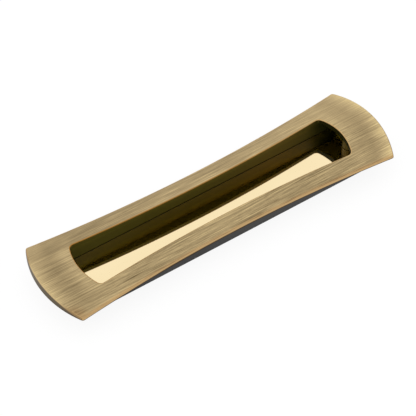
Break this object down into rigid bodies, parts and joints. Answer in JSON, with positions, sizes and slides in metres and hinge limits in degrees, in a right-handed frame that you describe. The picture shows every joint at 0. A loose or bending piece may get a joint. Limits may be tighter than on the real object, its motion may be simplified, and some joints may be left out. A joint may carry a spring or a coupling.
{
  "type": "pocket door pull",
  "caption": "Flush finger pull for a sliding pocket door: a crowned, waisted brass face plate with a matching waisted opening over a straight-sided tray.",
  "frame": {"origin": "centre of the tray's flat bottom, the deepest point in the mortise", "axes": "+X along the pull, +Y across it, +Z out of the door, towards the hand"},
  "size_m": [0.1544, 0.041, 0.012],
  "materials": {
    "antique_brass": "antique brass, brushed along its length, with paler edges",
    "tray_brass": "polished inside, dark grey outside",
    "screw_brass": "plain, dull"
  },
  "bodies": {
    "root": {"face_plate": "antique_brass", "tray": "tray_brass", "screw_left": "screw_brass", "screw_right": "screw_brass"}
  },
  "joints": []
}
